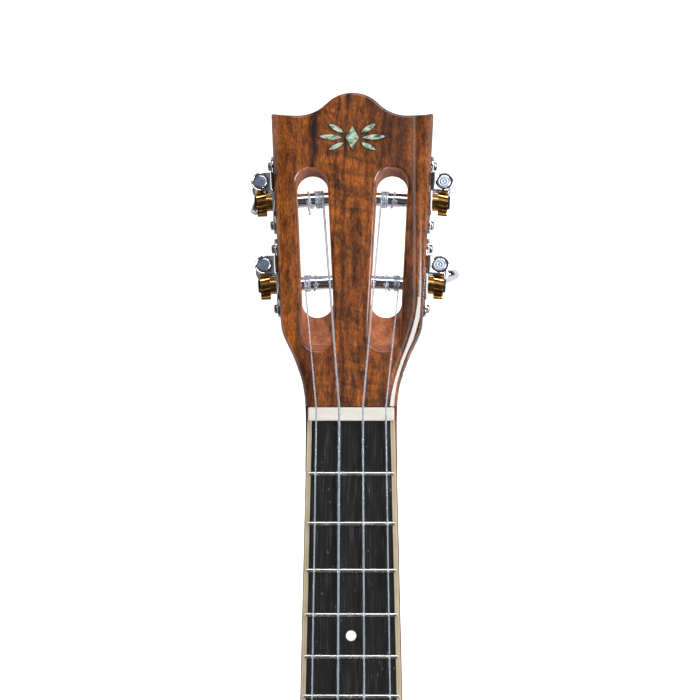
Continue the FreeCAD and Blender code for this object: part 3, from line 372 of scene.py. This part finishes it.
def metal(name, colour, roughness, wear=0.06, scale=500.0):
    """Polished metal with faint handling marks in its gloss."""
    s = Shader(name, Metallic=1.0, Base_Color=colour)
    marks = s.noise(s.coordinates, scale, 4.0, 0.6)
    s.set("Roughness", s.ramp(marks, (0.35, max(roughness - wear, 0.01)), (0.7, roughness + wear)))
    return s.material


GEAR_TIP_RADIUS = 5.85 * MM


def gear_brass(tuner):
    """Brass coloured by distance from the post's axis: painted shade on the hub and low between the teeth,
    and a painted highlight on their tips.
    """
    s = Shader(f"{tuner}_brass", Metallic=1.0)
    joint = JOINTS[f"{tuner}_post_turn"]
    offset = s.add("ShaderNodeVectorMath", operation="SUBTRACT")
    s.link(s.coordinates, offset.inputs[0])
    offset.inputs[1].default_value = joint["pos_m"]
    across = s.add("ShaderNodeVectorMath", operation="CROSS_PRODUCT")
    s.link(offset.outputs["Vector"], across.inputs[0])
    across.inputs[1].default_value = joint["axis"]
    length = s.add("ShaderNodeVectorMath", operation="LENGTH")
    s.link(across.outputs["Vector"], length.inputs[0])
    height = s.maths("DIVIDE", length.outputs["Value"], GEAR_TIP_RADIUS)
    # painted shade: darker brass on the hub and low between the teeth; painted highlight: bright brass on the
    # tips
    s.set("Base Color", s.ramp(height, (0.80, (0.42, 0.22, 0.055)), (0.86, (0.25, 0.125, 0.03)),
                               (0.94, (0.80, 0.47, 0.14)), (1.0, (0.92, 0.60, 0.22))))
    marks = s.noise(s.coordinates, 500.0, 4.0, 0.6)
    s.set("Roughness", s.ramp(marks, (0.35, 0.12), (0.7, 0.26)))
    return s.material


def string_material():
    s = Shader("string_clear", Roughness=0.15, Coat_Weight=0.3)
    s.set("Transmission Weight", 0.75)
    s.set("IOR", 1.35)
    cloud = s.noise(s.stretch((1.0, 0.1, 1.0)), 700.0, 2.0)
    s.set("Base Color", s.ramp(cloud, (0.3, (0.70, 0.78, 0.90)), (0.7, (0.84, 0.90, 0.98))))
    return s.material


def abalone():
    """Green, blue and pink bands folded into each other, as in a slice of shell."""
    s = Shader("abalone", Roughness=0.18, Coat_Weight=0.6)
    swirl = s.noise(s.coordinates, 130.0, 3.0, 0.6, 2.2)
    colour = s.ramp(swirl, (0.30, (0.03, 0.05, 0.05)), (0.40, (0.08, 0.16, 0.12)), (0.47, (0.26, 0.36, 0.24)),
                    (0.53, (0.48, 0.50, 0.40)), (0.60, (0.12, 0.22, 0.20)), (0.70, (0.42, 0.30, 0.33)))
    cells = s.add("ShaderNodeTexVoronoi", feature="F1")
    s.link(s.stretch((1.0, 0.6, 1.0)), cells.inputs["Vector"])
    cells.inputs["Scale"].default_value = 420.0
    colour = s.mix(colour, s.ramp(cells.outputs["Distance"], (0.1, 0.55), (0.6, 1.3)), 0.5, "MULTIPLY")
    s.set("Base Color", colour)
    return s.material


def pearl():
    s = Shader("pearl", Roughness=0.2, Coat_Weight=0.5)
    cloud = s.noise(s.coordinates, 700.0, 3.0, 0.5, 1.0)
    s.set("Base Color", s.ramp(cloud, (0.3, (0.72, 0.72, 0.68)), (0.7, (0.92, 0.91, 0.88))))
    return s.material


# ---------------------------------------------------------------- applying materials
def dress(material, *names):
    for name in names:
        data = NODES[name].data
        data.materials.clear()
        data.materials.append(material)
        for face in data.polygons:
            face.material_index = 0


def dress_all():
    koa = body_koa()
    rim = rim_koa()
    inner = bare_wood()
    board = dark_wood("fretboard_wood")
    edging = cream_edging()
    ivory = bone()
    shell = abalone()
    chrome = metal("chrome", (0.72, 0.74, 0.79), 0.08, 0.04)
    screws = metal("screw_nickel", (0.40, 0.385, 0.37), 0.24, 0.08)
    turned = metal("turned_chrome", (0.62, 0.72, 0.90), 0.13, 0.05)
    dark = metal("dark_screw", (0.03, 0.03, 0.04), 0.28)
    nickel = metal("nickel_silver", (0.74, 0.72, 0.68), 0.24, 0.08)
    cord = string_material()
    dress(head_koa(), "head_veneer")
    dress(koa, "soundboard", "back_plate")
    dress(rim, "side_left", "side_right")
    dress(inner, "neck_block", "tail_block", "kerfed_linings", "top_braces", "back_braces", "bridge_plate")
    dress(mahogany(), "neck")
    dress(board, "fretboard", "bridge", "heel_cap")
    dress(edging, "fretboard_binding", "body_bindings")
    dress(ivory, "nut", "saddle")
    dress(shell, "head_inlay", "rosette")
    dress(pearl(), "position_dots")
    dress(nickel, "frets")
    dress(cord, *STRINGS)
    dress(screws, "tuner_mount_screws")
    for tuner in TUNERS:
        dress(chrome, *(f"{tuner}_{piece}" for piece in ("plate", "worm", "button", "button_screw", "post")))
        dress(gear_brass(tuner), f"{tuner}_gear")
        dress(dark, f"{tuner}_gear_screw")
        dress(cord, f"{tuner}_string_wrap")
        string_wrap(tuner, cord)
        # the dark screw metal also colours the painted shadow ring round each worm's face
        worm_face(tuner, turned, dark)
    for name in STRINGS:
        tie_loop(name, cord)
    purfling(board)
    glue_lines(board)


# ---------------------------------------------------------------- softened edges on the CAD parts
CRISP_ANGLE = math.radians(30)
BEVEL_ANGLE = math.radians(32)
NORMAL_WEIGHT = 90


def smooth(name):
    """Join the part's faces and shade them smooth."""
    obj = NODES[name]
    for face in obj.data.polygons:
        face.use_smooth = True
    weld = obj.modifiers.new("weld", "WELD")
    weld.merge_threshold = WELD_DISTANCE
    return obj


def keep_crisp(name):
    """Smooth shading that stops at each sharp edge."""
    split = smooth(name).modifiers.new("crisp_edges", "EDGE_SPLIT")
    split.split_angle = CRISP_ANGLE
    NODES[name].modifiers.new("even_faces", "WEIGHTED_NORMAL").weight = NORMAL_WEIGHT


def soften(name, width):
    """Round the part's sharp edges a little, so that they catch the light."""
    obj = smooth(name)
    bevel = obj.modifiers.new("soft_edges", "BEVEL")
    bevel.width = width
    bevel.segments = 3
    bevel.limit_method = "ANGLE"
    bevel.angle_limit = BEVEL_ANGLE
    bevel.use_clamp_overlap = False
    obj.modifiers.new("even_faces", "WEIGHTED_NORMAL").weight = NORMAL_WEIGHT


def soften_all():
    for name, width in (("fretboard_binding", 0.12), ("heel_cap", 0.2), ("body_bindings", 0.3)):
        soften(name, width * MM)
    for name in ("head_veneer", "neck", "nut", "bridge", "saddle", "frets", "tuner_mount_screws", *STRINGS):
        keep_crisp(name)
    for tuner in TUNERS:
        soften(f"{tuner}_plate", 0.28 * MM)
        for piece in ("worm", "gear", "button", "button_screw", "post", "gear_screw"):
            keep_crisp(f"{tuner}_{piece}")


# ---------------------------------------------------------------- added pieces
def add_mesh(name, mesh, material, body):
    piece = bpy.data.objects.new(name, mesh)
    bpy.context.scene.collection.objects.link(piece)
    mesh.materials.append(material)
    for face in mesh.polygons:
        face.use_smooth = True
    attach(piece, body)
    return piece


def mesh_from(name, bm):
    """Turn a bmesh into a named mesh, and free it."""
    mesh = bpy.data.meshes.new(name)
    bm.to_mesh(mesh)
    bm.free()
    return mesh


def tube(bm, path, radius, sides=10):
    """Sweep a round section along some points, adding it to a bmesh."""
    points = [Vector(point) for point in path]
    normal = (points[1] - points[0]).orthogonal().normalized()
    last = None
    for index, point in enumerate(points):
        ahead = points[min(index + 1, len(points) - 1)]
        behind = points[max(index - 1, 0)]
        along = (ahead - behind).normalized()
        normal = (normal - along * normal.dot(along)).normalized()
        side = along.cross(normal)
        ring = []
        for step in range(sides):
            turn = WHOLE_TURN * step / sides
            ring.append(bm.verts.new(point + (normal * math.cos(turn) + side * math.sin(turn)) * radius))
        if last:
            for step in range(sides):
                following = (step + 1) % sides
                bm.faces.new((last[step], last[following], ring[following], ring[step]))
        else:
            bm.faces.new(list(reversed(ring)))
        last = ring
    bm.faces.new(last)


def smooth_path(points, steps=8):
    """A Catmull-Rom curve through some points."""
    padded = [points[0] * 2 - points[1], *points, points[-1] * 2 - points[-2]]
    path = []
    for before, start, end, after in zip(padded, padded[1:], padded[2:], padded[3:]):
        for step in range(steps):
            t = step / steps
            path.append(0.5 * (2 * start + (end - before) * t
                               + (2 * before - 5 * start + 4 * end - after) * t ** 2
                               + (3 * start - before - 3 * end + after) * t ** 3))
    path.append(points[-1])
    return path


def lathe(name, profile, centre, axis, sides=72):
    """Turn a profile of (radius, height) pairs about an axis."""
    across = axis.orthogonal().normalized()
    other = axis.cross(across)
    bm = bmesh.new()
    rings = []
    for radius, height in profile:
        if radius == 0.0:
            rings.append([bm.verts.new(centre + axis * height)])
            continue
        turns = [WHOLE_TURN * step / sides for step in range(sides)]
        rings.append([bm.verts.new(centre + axis * height
                                   + (across * math.cos(turn) + other * math.sin(turn)) * radius)
                      for turn in turns])
    for inner, outer in zip(rings, rings[1:]):
        for step in range(sides):
            following = (step + 1) % sides
            corners = [inner[step % len(inner)], outer[step % len(outer)],
                       outer[following % len(outer)], inner[following % len(inner)]]
            unique = list(dict.fromkeys(corners))
            bm.faces.new(unique)
    return mesh_from(name, bm)


class PostPlace:
    """A tuner's own directions: out along its post, crownwards along the head, and up out of the face."""

    def __init__(self, tuner):
        post = JOINTS[f"{tuner}_post_turn"]
        self.centre = Vector(post["pos_m"])
        self.out = Vector(post["axis"]).normalized()
        self.up = Vector(JOINTS[f"{tuner}_button_turn"]["axis"]).normalized()
        self.crown = self.up.cross(self.out)
        if self.crown.y < 0:
            self.crown = -self.crown

    def at(self, out, crown, up):
        return self.centre + self.out * out + self.crown * crown + self.up * up

    def around(self, out, radius, turn):
        """A point on a circle about the post; the turn starts at the top and goes crownwards."""
        return self.at(out, radius * math.sin(turn), radius * math.cos(turn))


def wrap_span(tuner, place):
    """How far along the post the CAD's turns reach, and their string's radius and path radius."""
    vertices = [vertex.co - place.centre for vertex in NODES[f"{tuner}_string_wrap"].data.vertices]
    along = [vertex.dot(place.out) for vertex in vertices]
    reach = [(vertex - place.out * vertex.dot(place.out)).length for vertex in vertices]
    radius = (max(reach) - min(reach)) / 2
    return min(along), max(along), radius, min(reach) + radius


def knot(place, centre, size, steps=48):
    """A small overhand knot, as a trefoil lying against the post."""
    out, crown, up = centre
    points = []
    for step in range(steps + 1):
        t = WHOLE_TURN * step / steps
        points.append(place.at(out + size * (math.sin(t) + 2 * math.sin(2 * t)) / 3,
                               crown + size * (math.cos(t) - 2 * math.cos(2 * t)) / 3,
                               up - size * math.sin(3 * t) / 3))
    return points


# how each string ends on its post, in millimetres: the stray turn's extra step and its lean, then the places
# that the tail goes through, as (out, crown, up) from the knot
WRAP_ENDS = {
    "upper_left": (3.2, 1.0, ((0.1, -1.9, 0.2), (-0.1, -3.4, 0.1), (-0.3, -5.4, -0.1))),
    "lower_left": (2.6, 0.6, ((-0.5, -0.5, 0.9), (-0.9, 0.3, 1.5))),
    "upper_right": (3.0, 0.7, ((0.4, -0.6, 0.9), (0.9, -0.2, 1.5))),
    "lower_right": (3.4, 1.1, ((-0.2, -1.6, 0.3), (0.5, -3.0, 0.2), (1.1, -4.4, 0.0))),
}


CLOSE_TURNS = 3.0
STEPS_PER_TURN = 40
TURNS_GAP = 0.03 * MM


def string_wrap(tuner, material):
    """The string's turns on its post: close at first, then a stray one, a knot and a short tail."""
    place = PostPlace(tuner)
    low, high, radius, ride = wrap_span(tuner, place)
    start, step = (low, 1) if tuner.startswith("upper") else (high, -1)
    start -= step * radius
    pitch = 2 * radius + TURNS_GAP
    stray, lean, tail = WRAP_ENDS[tuner]
    path = []
    for index in range(int(CLOSE_TURNS * STEPS_PER_TURN) + 1):
        turns = index / STEPS_PER_TURN
        wobble = 0.05 * MM * math.sin(turns * 9.0 + lean * 4.0)
        path.append(place.around(start + step * (turns * pitch + wobble), ride, turns * WHOLE_TURN))
    last = start + step * CLOSE_TURNS * pitch
    stray_turns = 1.0 + 0.25 * lean
    for index in range(1, int(stray_turns * STEPS_PER_TURN) + 1):
        part = index / (stray_turns * STEPS_PER_TURN)
        ease = part * part * (3 - 2 * part)
        path.append(place.around(last + step * ease * stray * MM, ride + 0.04 * MM * part,
                                 part * stray_turns * WHOLE_TURN))
    end = last + step * stray * MM
    bm = bmesh.new()
    tube(bm, path, radius)
    knot_place = (end, -0.55 * ride, 0.95 * ride)
    tube(bm, knot(place, knot_place, 0.95 * MM), radius * 0.9, 8)
    tail_points = [place.at(knot_place[0] + out * MM, knot_place[1] + crown * MM, knot_place[2] + up * MM)
                   for out, crown, up in ((0.0, 0.0, 0.0), *tail)]
    tube(bm, smooth_path(tail_points), radius * 0.9, 8)
    mesh = mesh_from(f"{tuner}_string_turns", bm)
    piece = add_mesh(f"{tuner}_string_turns", mesh, material, f"{tuner}_post_body")
    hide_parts(f"{tuner}_string_wrap")


# the turned face of a worm's journal, as radius and height in millimetres
WORM_FACE = ((0.0, 0.044), (0.30, 0.042), (0.42, 0.034), (0.90, 0.034), (1.05, 0.041), (1.50, 0.041),
             (1.65, 0.034), (2.05, 0.034), (2.20, 0.044), (2.38, 0.040), (2.66, -0.04), (2.66, -0.05))
# painted shadow: a dark ring that stands for the shade in the groove between a worm's journal and the plate's
# ear, in the same terms
GAP_SHADOW_RING = ((2.78, -0.26), (2.84, -0.17), (3.20, -0.17), (3.26, -0.26))


def worm_face(tuner, material, shadow_look):
    """Turned rings on the end of the worm, which show in the plate's front ear, and a dark ring of painted
    shadow in the groove round them.
    """
    joint = JOINTS[f"{tuner}_button_turn"]
    axis = Vector(joint["axis"]).normalized()
    centre = Vector(joint["pos_m"])
    front = max((vertex.co - centre).dot(axis) for vertex in NODES[f"{tuner}_worm"].data.vertices)
    # the second ring is painted shadow, dark where the groove lies in shade
    for name, rings, look in (("worm_face", WORM_FACE, material), ("gap_shadow_ring", GAP_SHADOW_RING, shadow_look)):
        profile = [(radius * MM, height * MM) for radius, height in rings]
        mesh = lathe(f"{tuner}_{name}", profile, centre + axis * front, axis)
        add_mesh(f"{tuner}_{name}", mesh, look, f"{tuner}_button_body")


GLUE_LINE_RADIUS = 0.14 * MM


def glue_lines(material):
    """A thin dark line round each piece of the head's inlay, where glue fills the gap."""
    up = face_up()
    bm = bmesh.new()
    bm.from_mesh(NODES["head_inlay"].data)
    bmesh.ops.remove_doubles(bm, verts=bm.verts, dist=WELD_DISTANCE)
    bm.normal_update()
    top = [face for face in bm.faces if face.normal.dot(up) > 0.99]
    rim = [edge for face in top for edge in face.edges if sum(other in top for other in edge.link_faces) == 1]
    lines = bmesh.new()
    while rim:
        edge = rim.pop(0)
        loop = [edge.verts[0], edge.verts[1]]
        while True:
            following = next((other for other in rim if loop[-1] in other.verts), None)
            if following is None:
                break
            rim.remove(following)
            loop.append(following.other_vert(loop[-1]))
        tube(lines, [vertex.co for vertex in loop], GLUE_LINE_RADIUS, 6)
    bm.free()
    add_mesh("inlay_glue_lines", mesh_from("inlay_glue_lines", lines), material, "root")


ROSETTE_WIDTH = 4.5 * MM


def purfling(material):
    """Two thin dark rings that frame the shell rosette."""
    low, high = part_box("rosette")
    centre = Vector(((low.x + high.x) / 2, (low.y + high.y) / 2, high.z))
    outer = (high.x - low.x) / 2
    for name, radius in (("rosette_outer_line", outer), ("rosette_inner_line", outer - ROSETTE_WIDTH)):
        profile = [(radius - 0.45 * MM, -0.1 * MM), (radius - 0.40 * MM, 0.03 * MM),
                   (radius + 0.40 * MM, 0.03 * MM), (radius + 0.45 * MM, -0.1 * MM)]
        mesh = lathe("purfling", profile, centre, Vector((0, 0, 1)), 160)
        add_mesh(name, mesh, material, "root")


TIE_BLOCK_LENGTH = 8.6 * MM
TIE_HOLE_HEIGHT = 4.6 * MM


def tie_loop(name, material):
    """The string's end, brought back over the tie block and tucked under itself twice."""
    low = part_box(name)[0]
    block_low, block_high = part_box("bridge")
    ends = [vertex.co.x for vertex in NODES[name].data.vertices if vertex.co.y < low.y + 2 * MM]
    x = sum(ends) / len(ends)
    radius = 0.3 * MM
    front = block_low.y + TIE_BLOCK_LENGTH
    top = block_high.z + radius
    hole = block_low.z + TIE_HOLE_HEIGHT
    back = block_low.y - radius
    path = [(x, back, hole - 0.2 * MM), (x + 0.5 * MM, back - 0.1 * MM, hole + 1.4 * MM),
            (x + 1.0 * MM, back + 0.4 * MM, top), (x + 1.2 * MM, (front + back) / 2, top + 0.1 * MM),
            (x + 1.0 * MM, front, top), (x + 0.4 * MM, front + 0.5 * MM, top - 1.2 * MM),
            (x - 0.7 * MM, front + 0.4 * MM, top - 0.6 * MM), (x - 1.3 * MM, front - 1.6 * MM, top),
            (x - 0.9 * MM, (front + back) / 2, top + 0.1 * MM),
            (x + 0.4 * MM, back + 2.4 * MM, top + 0.5 * MM),
            (x + 2.0 * MM, back + 1.4 * MM, top + 0.2 * MM), (x + 3.4 * MM, back + 1.8 * MM, top + 0.1 * MM)]
    bm = bmesh.new()
    tube(bm, smooth_path([Vector(point) for point in path]), radius, 8)
    add_mesh(f"{name}_tie", mesh_from(f"{name}_tie", bm), material, "root")


# ---------------------------------------------------------------- stage, lights and camera
FLOOR_REACH = 6.0
FLOOR_DROP = 0.0005


def stage():
    """A white floor, just below the object so that the two don't share a surface."""
    mesh = bpy.data.meshes.new("floor")
    corners = [(across * FLOOR_REACH, along * FLOOR_REACH, 0)
               for across, along in ((-1, -1), (1, -1), (1, 1), (-1, 1))]
    mesh.from_pydata(corners, [], [(0, 1, 2, 3)])
    floor = bpy.data.objects.new("floor", mesh)
    floor.location.z = -FLOOR_DROP
    bpy.context.scene.collection.objects.link(floor)
    s = Shader("floor_white", Base_Color=(0.55, 0.55, 0.56), Roughness=0.9)
    s.set("Emission Color", (1.0, 1.0, 1.0))
    # it looks white itself, but doesn't flood the metal above it with light
    seen = s.add("ShaderNodeLightPath").outputs["Is Camera Ray"]
    s.set("Emission Strength", s.maths("MULTIPLY_ADD", seen, 0.9, 0.12))
    mesh.materials.append(s.material)


def area_light(name, place, target, width, height, power, mirrored=True):
    """A rectangular light; one that isn't mirrored lights surfaces without showing in them."""
    data = bpy.data.lights.new(name, "AREA")
    data.shape = "RECTANGLE"
    data.size = width
    data.size_y = height
    data.energy = power
    light = bpy.data.objects.new(name, data)
    light.location = place
    light.visible_glossy = mirrored
    light.rotation_mode = "QUATERNION"
    light.rotation_quaternion = (Vector(target) - Vector(place)).to_track_quat("-Z", "Y")
    bpy.context.scene.collection.objects.link(light)


def studio_world():
    """Soft white at the horizon and a faint band high up; the dark between them gives metal its contrast."""
    world = bpy.data.worlds.new("studio")
    world.use_nodes = True
    bpy.context.scene.world = world
    tree = world.node_tree
    direction = tree.nodes.new("ShaderNodeTexCoord")
    split = tree.nodes.new("ShaderNodeSeparateXYZ")
    tree.links.new(direction.outputs["Generated"], split.inputs[0])
    ramp = tree.nodes.new("ShaderNodeValToRGB")
    tree.links.new(split.outputs["Z"], ramp.inputs["Fac"])
    # (how high, from the horizon at 0 to overhead at 1, and how bright)
    stops = ((0.0, 0.70), (0.10, 0.45), (0.24, 0.03), (0.60, 0.03), (0.80, 0.06), (0.88, 0.22), (0.95, 0.07))
    fill_ramp(ramp, [(position, (grey * 0.96, grey * 0.98, grey)) for position, grey in stops])
    background = tree.nodes["Background"]
    tree.links.new(ramp.outputs["Color"], background.inputs["Color"])
    background.inputs["Strength"].default_value = 1.0


def light_all():
    head = Vector((0.0, cad_box[1].y - 0.1, 0.05))
    area_light("key", head + Vector((0.3, 1.6, 1.3)), head, 1.0, 0.7, 12.5)
    area_light("edge_panel", head + Vector((1.05, 0.31, 1.08)), head + Vector((0.0, 0.31, 0.0)),
               0.82, 0.66, 25.0)
    area_light("fill", head + Vector((-1.5, -0.1, 1.1)), head, 0.7, 1.2, 13.0, mirrored=False)
    area_light("high_panel", head + Vector((0.40, 1.08, 2.02)), head + Vector((0.40, 0.0, 0.0)),
               0.64, 0.7, 2.4)
    area_light("body_key", Vector((0.9, -0.8, 1.4)), Vector((0, 0, 0)), 0.9, 0.9, 16.0)
    studio_world()


def camera():
    """Looks straight down at the head and the first frets, from a little to the right."""
    nut_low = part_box("nut")[0]
    distance = 1.3
    frame_width = 283.7 * MM
    turn = math.radians(0.9)
    target = Vector((-0.46 * MM, nut_low.y + 28.7 * MM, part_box("fretboard")[1].z))
    data = bpy.data.cameras.new("camera")
    data.sensor_width = 36.0
    data.lens = data.sensor_width * distance / frame_width
    eye = bpy.data.objects.new("camera", data)
    eye.location = target + Vector((math.sin(turn), 0.0, math.cos(turn))) * distance
    eye.rotation_euler = (0.0, turn, 0.0)
    bpy.context.scene.collection.objects.link(eye)
    bpy.context.scene.camera = eye


camera()
stage()
light_all()
dress_all()
soften_all()
bpy.context.scene.view_settings.view_transform = "Standard"
